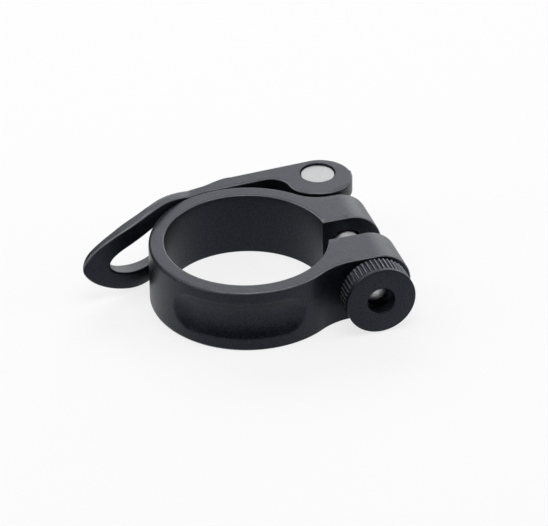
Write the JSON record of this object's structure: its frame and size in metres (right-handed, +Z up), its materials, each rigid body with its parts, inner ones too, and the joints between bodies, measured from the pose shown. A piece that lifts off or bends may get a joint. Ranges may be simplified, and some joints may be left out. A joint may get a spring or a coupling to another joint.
{
  "type": "seatpost clamp",
  "caption": "Split collar that clamps a bicycle seatpost, closed by a cam lever with a windowed blade, a skewer and a knurled thumb nut.",
  "frame": {"origin": "centre of the seat tube bore at the collar's lower face", "axes": "+Z up along the bore; +X towards the slot and the ears; +Y towards the lever's side, -Y towards the thumb nut"},
  "size_m": [0.064, 0.0481, 0.0177],
  "materials": {
    "anodised": "fine bead-blasted black anodising, satin",
    "lever_anodised": "fine bead-blasted black anodising, satin",
    "nut_anodised": "turned and black anodised, satin",
    "bright_steel": "bright zinc-plated steel, satin",
    "pin_steel": "faced steel pin end, fine satin",
    "black_acetal": "moulded black acetal, matte"
  },
  "bodies": {
    "clamp": {"collar": "anodised", "cam_saddle": "black_acetal", "skewer": "bright_steel", "pivot_pin": "pin_steel"},
    "lever": {"lever": "lever_anodised"},
    "washer": {"nut_washer": "black_acetal"},
    "nut": {"thumb_nut": "nut_anodised"}
  },
  "joints": [
    {"name": "lever_swing", "type": "hinge", "parent": "clamp", "child": "lever", "pos_m": [0.0227, 0.02045, 0.0078], "axis": [0, 0, -1], "range_deg": [0, 180]},
    {"name": "nut_advance", "type": "slide", "parent": "clamp", "child": "washer", "axis": [0, -1, 0], "range_m": [0, 0.002]},
    {"name": "nut_turn", "type": "hinge", "parent": "washer", "child": "nut", "pos_m": [0.0227, -0.01705, 0.0078], "axis": [0, -1, 0], "range_deg": [0, 720]}
  ],
  "couplings": [
    {"joint": "nut_advance", "follows": "nut_turn", "m_per_rad": 0.00015915}
  ]
}
